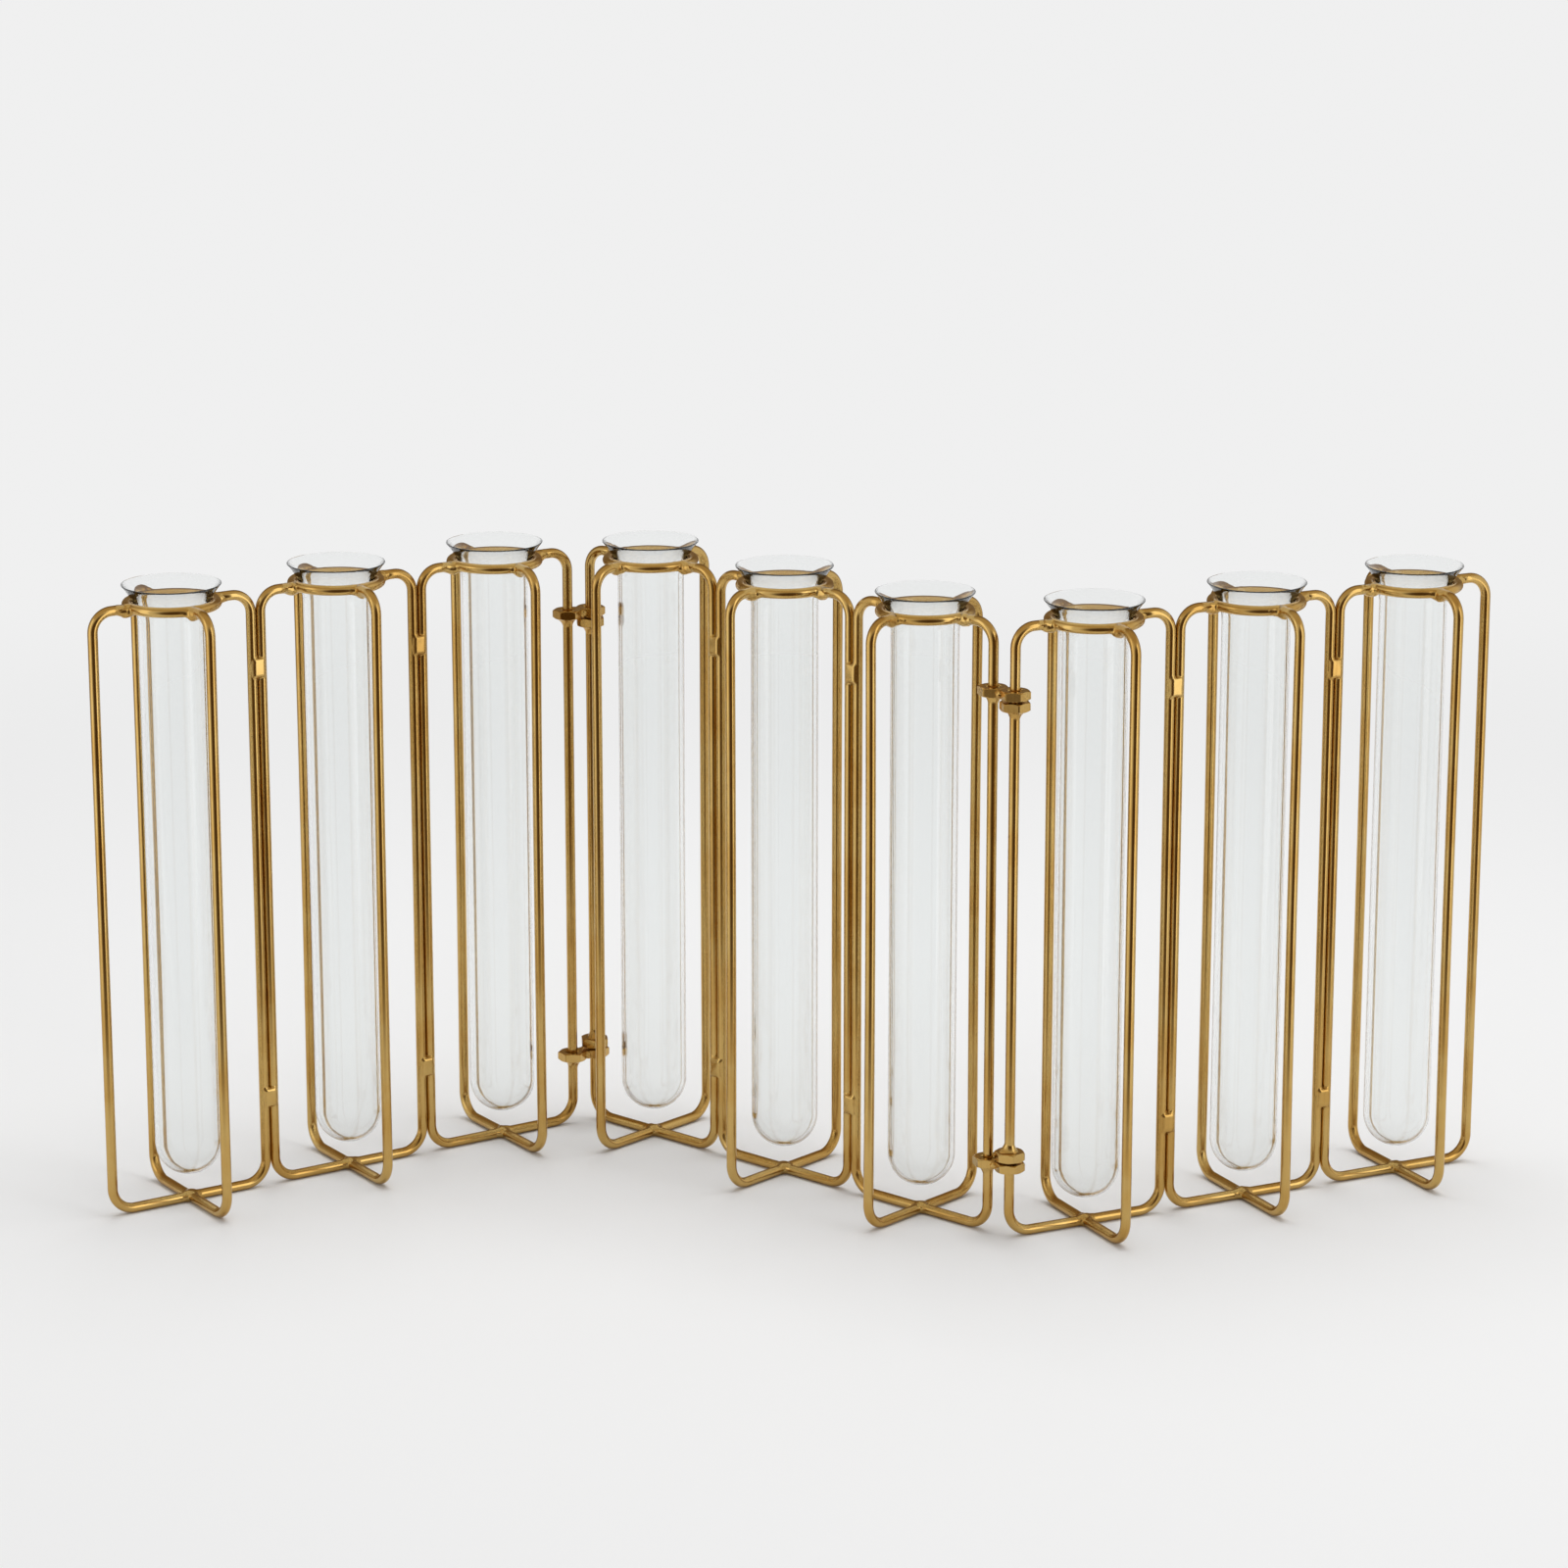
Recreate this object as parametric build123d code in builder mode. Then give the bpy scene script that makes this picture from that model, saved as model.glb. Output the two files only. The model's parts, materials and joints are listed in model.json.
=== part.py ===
"""Folding vase: nine glass test tubes hang in a brass-finished wire stand.

The stand has three straight sections of three cells, joined by two hinges and set in a zigzag.
In plan, a cell is a cross of wires with a ring in the middle: a left and a right leg along the
section's row, a front and a back leg across it. Each leg turns inwards at the floor and at the top.
"""

import os
from math import cos, radians, sin, sqrt

from build123d import *

os.makedirs("parts", exist_ok=True)

# Wire cells, in millimetres
wire_diameter = 3.0
leg_reach_row = 25.5  # from the cell's centre to its left and right legs
leg_reach_cross = 24.0  # from the cell's centre to its front and back legs
base_bend_radius = 7.0  # centreline of the bend from a leg to the floor
top_bend_radius = 6.0  # centreline of the bend from a leg to its arm
leg_gap = 0.1  # between the legs of two neighbouring cells
weld_seam = 0.05  # between two pieces that a weld joins

# Glass tubes
tube_diameter = 20.0
tube_length = 180.0
glass_wall = 1.2
flare_radius = 16.0  # outer face of the flare, in section
flare_angle = 44.5  # how far the flare leans out at its lip
ring_clearance = 1.5  # between the tube's side and the ring around it
tube_seat_gap = 0.15  # between the flare and the ring that carries it
tube_base_gap = 6.0  # from the base wires up to the tube's round bottom

# Hinges: hex nuts on the end legs
nut_across_flats = 8.0
nut_height = 2.7
nut_clearance = 0.6  # between a leg and the bore of the nut around it
nut_bore_chamfer = 0.3
nut_corner_chamfer = 0.5
stop_nut_turn = 18.0  # degrees that a stop nut is turned from its section's row
stop_gap = 0.6  # between a pivot nut and the stop nut beside it
upper_link_drop = 19.5  # from the arms' centreline down to the middle of the upper links
lower_link_height = 22.0  # middle of the lower links, above the floor

# Weld beads
ring_bead_radius = 2.4
ring_bead_drop = 1.0  # below the arms' centreline
base_bead_radius = 1.9
tack_radius = 1.4
tack_length = 6.5
upper_tack_drop = 22.5  # from the arms' centreline down to the middle of the upper tacks
lower_tack_height = 28.0  # middle of the lower tacks, above the floor
nut_bead_width = 1.3  # how far a nut's bead spreads from its leg
nut_bead_height = 2.5
seam_bead_radius = 1.0
seam_bead_inset = 0.25  # from a nut's faces to the ends of the bead on its seam

# Layout: the direction of each section's row, in degrees from left to right
left_heading = 33.6
middle_heading = -41.6
right_heading = 26.1
cells_per_section = 3

# A hexagon's corners, in degrees
hex_turn = 60.0
half_hex_turn = hex_turn / 2

# Sizes that follow from those above
wire_radius = wire_diameter / 2
tube_radius = tube_diameter / 2
ring_radius = tube_radius + ring_clearance + wire_radius
cell_pitch = 2 * leg_reach_row + wire_diameter + leg_gap
end_leg_reach = (cells_per_section - 1) / 2 * cell_pitch + leg_reach_row
link_span = nut_across_flats + weld_seam
nut_corner_radius = nut_across_flats / 2 / cos(radians(half_hex_turn))
nut_bore_radius = wire_radius + nut_clearance
cut_radius = wire_radius + weld_seam
bore_radius = tube_radius - glass_wall
up = Vector(0, 0, 1)

# The flare's arc touches the ring, apart from the seat gap. The arms are as high as the tube needs
# to hang clear of the base.
seat_reach = flare_radius - wire_radius - tube_seat_gap
flare_centre = tube_radius + flare_radius
flare_drop = sqrt(seat_reach**2 - (flare_centre - ring_radius) ** 2)
lip_radius = glass_wall / 2
rim_rise = (flare_radius + lip_radius) * sin(radians(flare_angle)) + lip_radius
ball_centre = wire_diameter + tube_base_gap + tube_radius
rim_top = ball_centre - tube_radius + tube_length
flare_start = rim_top - rim_rise
arm_height = flare_start + flare_drop
upper_tack_height = arm_height - upper_tack_drop


def along(heading):
    """The direction of a row."""
    return Vector(cos(radians(heading)), sin(radians(heading)), 0)


def across(heading):
    """The direction from a row's front to its back."""
    return Vector(-sin(radians(heading)), cos(radians(heading)), 0)


# The plan, with the middle section's centre at zero: each section ends where its hinge begins
headings = (left_heading, middle_heading, right_heading)
pins = [along(middle_heading) * -end_leg_reach, along(middle_heading) * (end_leg_reach + link_span)]
anchors = [pins[0] - along(left_heading) * link_span, along(middle_heading) * end_leg_reach]
section_centres = (
    anchors[0] - along(left_heading) * end_leg_reach,
    Vector(0, 0, 0),
    pins[1] + along(right_heading) * end_leg_reach,
)
cell_steps = [(step - (cells_per_section - 1) / 2) * cell_pitch for step in range(cells_per_section)]
anchor_headings = (left_heading, middle_heading)
pin_headings = (middle_heading, right_heading)


def leg_points(centre, heading):
    """The four legs of a cell in plan: right, left, back and front."""
    row = along(heading) * leg_reach_row
    cross = across(heading) * leg_reach_cross
    return [centre + row, centre - row, centre + cross, centre - cross]


def nut_corners(centre, turn):
    """The corners of a nut in plan."""
    return [centre + along(turn + hex_turn * corner) * nut_corner_radius for corner in range(6)]


# The origin is the middle of the whole plan, on the floor
plan = []
for section_centre, heading in zip(section_centres, headings):
    for step in cell_steps:
        for leg in leg_points(section_centre + along(heading) * step, heading):
            plan += [leg + Vector(wire_radius, wire_radius), leg - Vector(wire_radius, wire_radius)]
for pin, anchor, anchor_heading, pin_heading in zip(pins, anchors, anchor_headings, pin_headings):
    for nut_centre in (pin, anchor):
        plan += nut_corners(nut_centre, anchor_heading + half_hex_turn)
    plan += nut_corners(pin, pin_heading + stop_nut_turn)
plan_low = Vector(min(p.X for p in plan), min(p.Y for p in plan), 0)
plan_high = Vector(max(p.X for p in plan), max(p.Y for p in plan), 0)
middle = (plan_low + plan_high) / 2
section_centres = [centre - middle for centre in section_centres]
pins = [pin - middle for pin in pins]
anchors = [anchor - middle for anchor in anchors]


def upright(origin, outward):
    """The vertical plane through a point whose x runs outward and whose y runs up."""
    return Plane(origin=origin, x_dir=outward, z_dir=outward.cross(up))


def sweep_wire(plane, points, bends, radius, mode=Mode.ADD):
    """A round wire along straight runs joined by bends."""
    with BuildLine(plane) as path:
        FilletPolyline(*points, radius=bends)
    with BuildSketch(Plane(origin=path.line @ 0, z_dir=path.line % 0)) as section:
        Circle(radius)
    sweep(section.sketch, path.line, mode=mode)


def cross_wire(centre, heading, radius, mode=Mode.ADD):
    """The U from the ring's front, under the tube and up to the ring's back."""
    points = [
        (-ring_radius, arm_height),
        (-leg_reach_cross, arm_height),
        (-leg_reach_cross, wire_radius),
        (leg_reach_cross, wire_radius),
        (leg_reach_cross, arm_height),
        (ring_radius, arm_height),
    ]
    bends = [top_bend_radius, base_bend_radius, base_bend_radius, top_bend_radius]
    sweep_wire(upright(centre, across(heading)), points, bends, radius, mode)


def row_wire(centre, outward, radius, mode=Mode.ADD):
    """The wire from the base crossing, up a side leg and in to the ring."""
    points = [
        (0, wire_radius),
        (leg_reach_row, wire_radius),
        (leg_reach_row, arm_height),
        (ring_radius, arm_height),
    ]
    sweep_wire(upright(centre, outward), points, [base_bend_radius, top_bend_radius], radius, mode)


def ring(centre, radius, mode=Mode.ADD):
    """The ring that a tube hangs in."""
    with Locations(centre + up * arm_height):
        Torus(ring_radius, radius, mode=mode)


def base_run(centre, heading, radius, mode=Mode.ADD):
    """The stretch of a cross wire at the middle of the base."""
    with BuildSketch(Plane(origin=centre + up * wire_radius, z_dir=across(heading))) as section:
        Circle(radius)
    extrude(section.sketch, amount=wire_diameter, both=True, mode=mode)


def flare_end(radius):
    """Where an arc of this radius about the flare's centre reaches the lip, in a tube's section."""
    lean = radians(flare_angle)
    return Vector(flare_centre - radius * cos(lean), flare_start + radius * sin(lean))


def hexagon(centre, turn, across_flats, height, mode=Mode.ADD):
    """A hexagonal block about a point, with a corner at the given turn."""
    with BuildSketch(Plane(origin=centre, x_dir=along(turn), z_dir=up)) as section:
        RegularPolygon(across_flats / 2, 6, major_radius=False)
    extrude(section.sketch, amount=height / 2, both=True, mode=mode)


# Rings, wires and tubes, cell by cell from left to right
cell = 0
for section_centre, heading in zip(section_centres, headings):
    for step in cell_steps:
        cell += 1
        centre = section_centre + along(heading) * step

        with BuildPart() as tube_ring:
            ring(centre, wire_radius)
        tube_ring.part.label = f"ring_{cell}"
        export_step(tube_ring.part, f"parts/ring_{cell}.step")

        with BuildPart() as u_wire:
            cross_wire(centre, heading, wire_radius)
            ring(centre, cut_radius, Mode.SUBTRACT)
        u_wire.part.label = f"cross_wire_{cell}"
        export_step(u_wire.part, f"parts/cross_wire_{cell}.step")

        for side, outward in (("left", -along(heading)), ("right", along(heading))):
            with BuildPart() as side_wire:
                row_wire(centre, outward, wire_radius)
                ring(centre, cut_radius, Mode.SUBTRACT)
                base_run(centre, heading, cut_radius, Mode.SUBTRACT)
            side_wire.part.label = f"{side}_wire_{cell}"
            export_step(side_wire.part, f"parts/{side}_wire_{cell}.step")

        outer_lip = flare_end(flare_radius)
        inner_lip = flare_end(flare_radius + glass_wall)
        lip_end = (outer_lip + inner_lip) / 2 + across(-flare_angle) * lip_radius
        with BuildPart() as tube:
            with BuildSketch(upright(centre, along(heading))):
                with BuildLine():
                    RadiusArc((0, ball_centre - tube_radius), (tube_radius, ball_centre), -tube_radius)
                    Line((tube_radius, ball_centre), (tube_radius, flare_start))
                    RadiusArc((tube_radius, flare_start), outer_lip, flare_radius)
                    ThreePointArc(outer_lip, lip_end, inner_lip)
                    RadiusArc(inner_lip, (bore_radius, flare_start), -(flare_radius + glass_wall))
                    Line((bore_radius, flare_start), (bore_radius, ball_centre))
                    RadiusArc((bore_radius, ball_centre), (0, ball_centre - bore_radius), bore_radius)
                    Line((0, ball_centre - bore_radius), (0, ball_centre - tube_radius))
                make_face()
            revolve(axis=Axis(centre, up))
        tube.part.label = f"tube_{cell}"
        export_step(tube.part, f"parts/tube_{cell}.step")
        print(f"cell {cell} {centre.X:.3f} {centre.Y:.3f} heading {heading}")

# Hinge nuts. A link is an anchor nut and a pivot nut side by side; the stop nut keeps the link from
# sliding along the pin leg: below the link at the top of the hinge, above it at the bottom.
stop_step = nut_height + stop_gap
link_heights = {"upper": arm_height - upper_link_drop, "lower": lower_link_height}
stop_heights = {"upper": link_heights["upper"] - stop_step, "lower": lower_link_height + stop_step}
for hinge in range(len(pins)):
    flat_turn = anchor_headings[hinge] + half_hex_turn
    for level in link_heights:
        places = {
            "anchor": (anchors[hinge] + up * link_heights[level], flat_turn),
            "pivot": (pins[hinge] + up * link_heights[level], flat_turn),
            "stop": (pins[hinge] + up * stop_heights[level], pin_headings[hinge] + stop_nut_turn),
        }
        for role, (place, turn) in places.items():
            with BuildPart() as nut:
                hexagon(place, turn, nut_across_flats, nut_height)
                half = nut_height / 2
                face_radius = nut_corner_radius - 2 * nut_corner_chamfer
                with BuildSketch(upright(place, along(turn))):
                    Polygon(
                        (0, -half),
                        (face_radius, -half),
                        (nut_corner_radius, nut_corner_chamfer - half),
                        (nut_corner_radius, half - nut_corner_chamfer),
                        (face_radius, half),
                        (0, half),
                        align=None,
                    )
                revolve(axis=Axis(place, up), mode=Mode.INTERSECT)
                with Locations(place):
                    Hole(nut_bore_radius)
                bore_edges = nut.edges().filter_by(GeomType.CIRCLE).group_by(SortBy.RADIUS)[0]
                chamfer(bore_edges, nut_bore_chamfer)
            nut.part.label = f"hinge_{hinge + 1}_{level}_{role}_nut"
            export_step(nut.part, f"parts/{nut.part.label}.step")
    print(f"pin {hinge + 1} {pins[hinge].X:.3f} {pins[hinge].Y:.3f}")


def nut_bead(face, widens_up):
    """A cone of weld around a leg, with its wide end on a nut's face."""
    wide = wire_radius + nut_bead_width
    foot = face - up * nut_bead_height if widens_up else face
    radii = (cut_radius, wide) if widens_up else (wide, cut_radius)
    with Locations(foot):
        Cone(*radii, nut_bead_height, align=(Align.CENTER, Align.CENTER, Align.MIN))


def tack(groove):
    """An upright bead with round ends in the groove between two legs."""
    barrel = tack_length - 2 * tack_radius
    with Locations(groove):
        Cylinder(tack_radius, barrel)
    with Locations(groove + up * (barrel / 2), groove - up * (barrel / 2)):
        Sphere(tack_radius)


# Weld beads, all those of one section together
face_step = nut_height / 2 + weld_seam
for section, (section_centre, heading) in enumerate(zip(section_centres, headings)):
    row = along(heading)
    cross = across(heading)
    centres = [section_centre + row * step for step in cell_steps]
    neighbours = [(left + right) / 2 for left, right in zip(centres, centres[1:])]
    with BuildPart() as welds:
        for centre in centres:
            ring_reach = ring_radius + wire_radius
            ring_place = centre + up * (arm_height - ring_bead_drop)
            with Locations(*[ring_place + spoke * ring_reach for spoke in (row, -row, cross, -cross)]):
                Sphere(ring_bead_radius)
            base_reach = base_bead_radius + weld_seam
            base_place = centre + up * base_reach
            with Locations(base_place + row * base_reach, base_place - row * base_reach):
                Sphere(base_bead_radius)
        for neighbour in neighbours:
            for height in (upper_tack_height, lower_tack_height):
                tack(neighbour - cross * wire_radius + up * height)
        for hinge in range(len(pins)):
            for level in link_heights:
                if section == hinge:
                    # An anchor nut's bead is under it, and two more close the seam to the pivot nut
                    nut_bead(anchors[hinge] + up * (link_heights[level] - face_step), True)
                    seam = (anchors[hinge] + pins[hinge]) / 2 + up * link_heights[level]
                    edge = cross * (nut_corner_radius / 2)
                    with Locations(seam + edge, seam - edge):
                        Cylinder(seam_bead_radius, nut_height - 2 * seam_bead_inset)
                if section == hinge + 1:
                    # A stop nut's bead is on the side away from the link
                    below = level == "upper"
                    face = stop_heights[level] - face_step if below else stop_heights[level] + face_step
                    nut_bead(pins[hinge] + up * face, below)
        for centre in centres:
            cross_wire(centre, heading, cut_radius, Mode.SUBTRACT)
            row_wire(centre, row, cut_radius, Mode.SUBTRACT)
            row_wire(centre, -row, cut_radius, Mode.SUBTRACT)
            ring(centre, cut_radius, Mode.SUBTRACT)
        if section < len(pins):
            for height in link_heights.values():
                for place in (anchors[section], pins[section]):
                    flats = nut_across_flats + weld_seam
                    hexagon(place + up * height, heading + half_hex_turn, flats, nut_height, Mode.SUBTRACT)
    welds.part.label = f"welds_{('left', 'middle', 'right')[section]}"
    export_step(welds.part, f"parts/{welds.part.label}.step")

print(f"tube bore radius {bore_radius:.3f} from {ball_centre:.3f} to {flare_start:.3f} rim {rim_top:.3f}")
print(f"arms {arm_height:.3f} cross reach {leg_reach_cross:.3f} wire {wire_diameter:.3f}")
print(f"plan {plan_high.X - plan_low.X:.2f} {plan_high.Y - plan_low.Y:.2f}")
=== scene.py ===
# %% [markdown]
# # A folding vase of glass tubes and brass wire
#
# This lesson dresses a folding vase. Nine flared glass tubes hang in the rings of a wire stand whose
# three straight sections turn on hinges made of hex nuts. The construction model already has every
# piece at its real size and place. Here each piece gets a finer surface, worked out with numpy, and a
# finish made of shader nodes.

# %% Load the construction model
import json

import bpy
import numpy as np
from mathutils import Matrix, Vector


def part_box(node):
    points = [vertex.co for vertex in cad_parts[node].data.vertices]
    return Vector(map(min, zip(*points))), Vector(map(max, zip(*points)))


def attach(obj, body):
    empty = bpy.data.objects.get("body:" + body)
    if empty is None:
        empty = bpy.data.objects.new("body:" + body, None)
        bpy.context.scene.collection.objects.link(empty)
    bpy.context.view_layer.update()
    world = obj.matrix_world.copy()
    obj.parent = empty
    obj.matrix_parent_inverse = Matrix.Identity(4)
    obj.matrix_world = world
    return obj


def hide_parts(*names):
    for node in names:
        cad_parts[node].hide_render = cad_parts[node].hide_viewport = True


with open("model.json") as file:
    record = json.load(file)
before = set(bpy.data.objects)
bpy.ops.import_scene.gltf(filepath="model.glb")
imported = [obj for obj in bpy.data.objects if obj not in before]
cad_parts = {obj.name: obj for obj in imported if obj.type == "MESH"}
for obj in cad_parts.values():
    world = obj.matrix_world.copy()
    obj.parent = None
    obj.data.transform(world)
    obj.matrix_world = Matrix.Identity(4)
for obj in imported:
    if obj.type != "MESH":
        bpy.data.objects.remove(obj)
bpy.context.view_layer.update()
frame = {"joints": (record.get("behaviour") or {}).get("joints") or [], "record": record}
MM = 0.001  # metres in a millimetre
scene = bpy.context.scene
scene.view_settings.view_transform = "Standard"
bodies = frame["record"]["behaviour"]["bodies"]
body_of = {node: body for body, nodes in bodies.items() for node in nodes}

# %% [markdown]
# ## Reading the plan from the model
#
# Nothing is placed by eye. A ring's box gives its cell's centre, the height of the arms and the wire's
# thickness. Three cells in a line give a section's direction, and the box of a bent wire gives how far
# its leg stands from the centre, because only the leg's round edge sticks out past the reach.

# %% Measure cells, sections and hinges
CELLS = range(1, 10)
SECTIONS = {"left": (1, 2, 3), "middle": (4, 5, 6), "right": (7, 8, 9)}
section_of = {cell: name for name, cells in SECTIONS.items() for cell in cells}


def box_of(node):
    """A node's lowest and highest corners as arrays."""
    low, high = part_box(node)
    return np.array(low), np.array(high)


def middle_of(node):
    """The middle of a node's box."""
    return sum(box_of(node)) / 2


ring_low, ring_high = box_of("ring_1")
wire_radius = (ring_high[2] - ring_low[2]) / 2
ring_radius = (ring_high[0] - ring_low[0]) / 2 - wire_radius
arm_height = (ring_high[2] + ring_low[2]) / 2
centre_of = {cell: np.append(middle_of(f"ring_{cell}")[:2], 0.0) for cell in CELLS}
row_of = {}
for first, _, last in SECTIONS.values():
    span = centre_of[last] - centre_of[first]
    row_of.update({cell: span / np.linalg.norm(span) for cell in range(first, last + 1)})
up = np.array([0.0, 0.0, 1.0])
cross_of = {cell: np.cross(up, row) for cell, row in row_of.items()}


def leg_reach(node, cell, direction):
    """How far a leg's middle stands from the cell's centre: the box's reach along x, less the wire's
    radius, divided by the x part of the leg's direction."""
    low, high = box_of(node)
    reach = max(high[0] - centre_of[cell][0], centre_of[cell][0] - low[0])
    return (reach - wire_radius) / abs(direction[0])


row_reach = leg_reach("right_wire_1", 1, row_of[1])
cross_reach = leg_reach("cross_wire_5", 5, cross_of[5])
pin_of = {}
for joint in frame["joints"]:
    if joint["type"] == "hinge":
        pin_of[joint["name"]] = np.array([*joint["pos_m"][:2], 0.0])
print("wire", wire_radius / MM, "ring", ring_radius / MM, "arms", arm_height / MM)
print("legs along the row", row_reach / MM, "across it", cross_reach / MM, "pins", pin_of)

# %% [markdown]
# ## Camera
#
# The camera comes first, so that every later choice can be compared with the photograph. A long lens
# from about a metre and a half away, looking slightly down, shows the tubes' rims as flat ellipses and
# keeps the legs almost parallel.

# %% Camera
CAMERA_PLACE = np.array([-5.0, -1408.4, 488.2]) * MM
CAMERA_PITCH = 14.51  # degrees that the camera looks down
CAMERA_LENS = 112.6  # millimetres
SENSOR_WIDTH = 36.0  # millimetres
SIGHT = 20.0  # metres that the camera sees
camera_data = bpy.data.cameras.new("camera")
camera_data.lens = CAMERA_LENS
camera_data.sensor_width = SENSOR_WIDTH
camera_data.clip_end = SIGHT
camera = bpy.data.objects.new("camera", camera_data)
camera.location = CAMERA_PLACE
camera.rotation_euler = (np.radians(90.0 - CAMERA_PITCH), 0.0, 0.0)
scene.collection.objects.link(camera)
scene.camera = camera
print("camera", CAMERA_PLACE, "lens", CAMERA_LENS)

# %% [markdown]
# ## Shader maths as Python expressions
#
# Node trees are hard to read as lists of links. A small class wraps a socket, so that `1 - mask` adds a
# Math node by itself, and one method makes every other kind of node.


# %% Socket class and node maker
class Socket:
    """An output socket. Sums, differences and products of values become Math nodes."""

    def __init__(self, tree, socket):
        self.tree = tree
        self.socket = socket

    def math(self, operation, first, second):
        """One Math node."""
        return self.tree.node("ShaderNodeMath", {"operation": operation}, {0: first, 1: second})

    def __add__(self, other):
        return self.math("ADD", self, other)

    def __sub__(self, other):
        return self.math("SUBTRACT", self, other)

    def __mul__(self, other):
        return self.math("MULTIPLY", self, other)

    def __radd__(self, other):
        return self.math("ADD", other, self)

    def __rsub__(self, other):
        return self.math("SUBTRACT", other, self)

    def __rmul__(self, other):
        return self.math("MULTIPLY", other, self)


class Tree:
    """A node tree that starts empty."""

    def __init__(self, owner):
        owner.use_nodes = True
        self.tree = owner.node_tree
        self.tree.nodes.clear()

    def node(self, kind, settings=None, inputs=None, out=0):
        """One node of a kind: its settings first, then its inputs, by name or number, as values or
        sockets. Gives the named or numbered output."""
        made = self.tree.nodes.new(kind)
        for name, value in (settings or {}).items():
            setattr(made, name, value)
        for name, value in (inputs or {}).items():
            socket = made.inputs[name] if isinstance(name, int) else self.find(made.inputs, name)
            if isinstance(value, Socket):
                self.tree.links.new(value.socket, socket)
            else:
                socket.default_value = value
        if not made.outputs:
            return None
        return Socket(self, made.outputs[out] if isinstance(out, int) else self.find(made.outputs, out))

    def find(self, sockets, name):
        """The enabled socket with this name or identifier."""
        return next(s for s in sockets if s.enabled and name in (s.name, s.identifier))

    def mix(self, factor, first, second):
        """A colour between two colours."""
        inputs = {"Factor": factor, "A": first, "B": second}
        return self.node("ShaderNodeMix", {"data_type": "RGBA"}, inputs, "Result")

    def noise(self, vector, scale, detail, roughness):
        """Cloudy noise around one half, with blotches about 1/scale wide."""
        inputs = {"Vector": vector, "Scale": scale, "Detail": detail, "Roughness": roughness}
        return self.node("ShaderNodeTexNoise", {}, inputs)

    def spread(self, value, low, high):
        """A value brought to 0 at low and 1 at high, and held there."""
        inputs = {"Value": value, "From Min": low, "From Max": high}
        return self.node("ShaderNodeMapRange", {"interpolation_type": "SMOOTHSTEP"}, inputs)

    def ray(self, kind):
        """1 for rays of one kind and 0 for all others."""
        return self.node("ShaderNodeLightPath", out=f"Is {kind} Ray")


def rgb(red, green, blue):
    """A colour with full alpha."""
    return (red, green, blue, 1.0)


def grey(share):
    """A grey that is a share of white."""
    return rgb(share, share, share)


# %% [markdown]
# ## Studio: backdrop and light
#
# The vase stands on a pale sweep that runs into a pale wall. Polished metal and glass only look right
# when they have something to mirror: pale walls, two soft boxes at the sides, a warm ceiling, shade at
# the back, and a dim warm room in front, which draws the brown streak down the middle of every wire.
# Modelling that room would take walls and furniture. The Light Path node is enough instead: it tells
# which ray asks, the camera's, one mirrored by metal, or one that glass mirrors or lets through.

# %% World
PALE = grey(0.87)  # the backdrop
AMBIENT = grey(0.50)  # light from all around on matt surfaces
ROOM = rgb(0.100, 0.059, 0.023)  # the dim room in front, as metal mirrors it
ROOM_AIM = (0.19, -0.98, -0.08)  # the way to the middle of that room
ROOM_EDGES = (0.62, 0.93)  # cosines of the angles from that way where the room starts and is full
BEHIND = rgb(0.24, 0.17, 0.09)  # the shade at the back, which draws a dark edge down each wire
BEHIND_EDGES = (0.20, 0.85)  # cosines of the angles from the opposite way
CEILING = rgb(0.60, 0.51, 0.37)  # what metal mirrors overhead
CEILING_EDGES = (0.42, 0.80)  # sines of the heights where the ceiling starts and is full
GLASS_ROOM = rgb(0.45, 0.45, 0.47)  # the same room, as smooth glass mirrors it
world = bpy.data.worlds.new("studio")
scene.world = world
tree = Tree(world)
direction = tree.node("ShaderNodeTexCoord", out="Generated")
aimed = {0: direction, 1: ROOM_AIM}
ahead = tree.node("ShaderNodeVectorMath", {"operation": "DOT_PRODUCT"}, aimed, "Value")
height = tree.node("ShaderNodeSeparateXYZ", {}, {"Vector": direction}, "Z")
in_room = tree.spread(ahead, *ROOM_EDGES)
metal_sees = tree.mix(tree.spread(height, *CEILING_EDGES), PALE, CEILING)
metal_sees = tree.mix(tree.spread(-1 * ahead, *BEHIND_EDGES), metal_sees, BEHIND)
metal_sees = tree.mix(in_room, metal_sees, ROOM)
glass_sees = tree.mix(in_room * (1 - tree.ray("Transmission")), PALE, GLASS_ROOM)
mirrored = tree.mix(tree.ray("Singular"), metal_sees, glass_sees)
seen = tree.mix(tree.ray("Glossy"), AMBIENT, mirrored)
seen = tree.mix(tree.ray("Camera"), seen, PALE)
background = tree.node("ShaderNodeBackground", {}, {"Color": seen, "Strength": 1.0})
tree.node("ShaderNodeOutputWorld", {}, {"Surface": background})
print("world: backdrop", PALE, "ambient", AMBIENT)

# %% [markdown]
# ## Soft boxes
#
# Lamps could be points or suns, but large rectangles give soft shadows and the long pale streaks that
# polished wire shows. The two at the sides are mirrored by the metal. The box overhead only lights. None
# shows through the glass, because a tube in front of a box would turn white while its backdrop stays pale.

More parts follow.
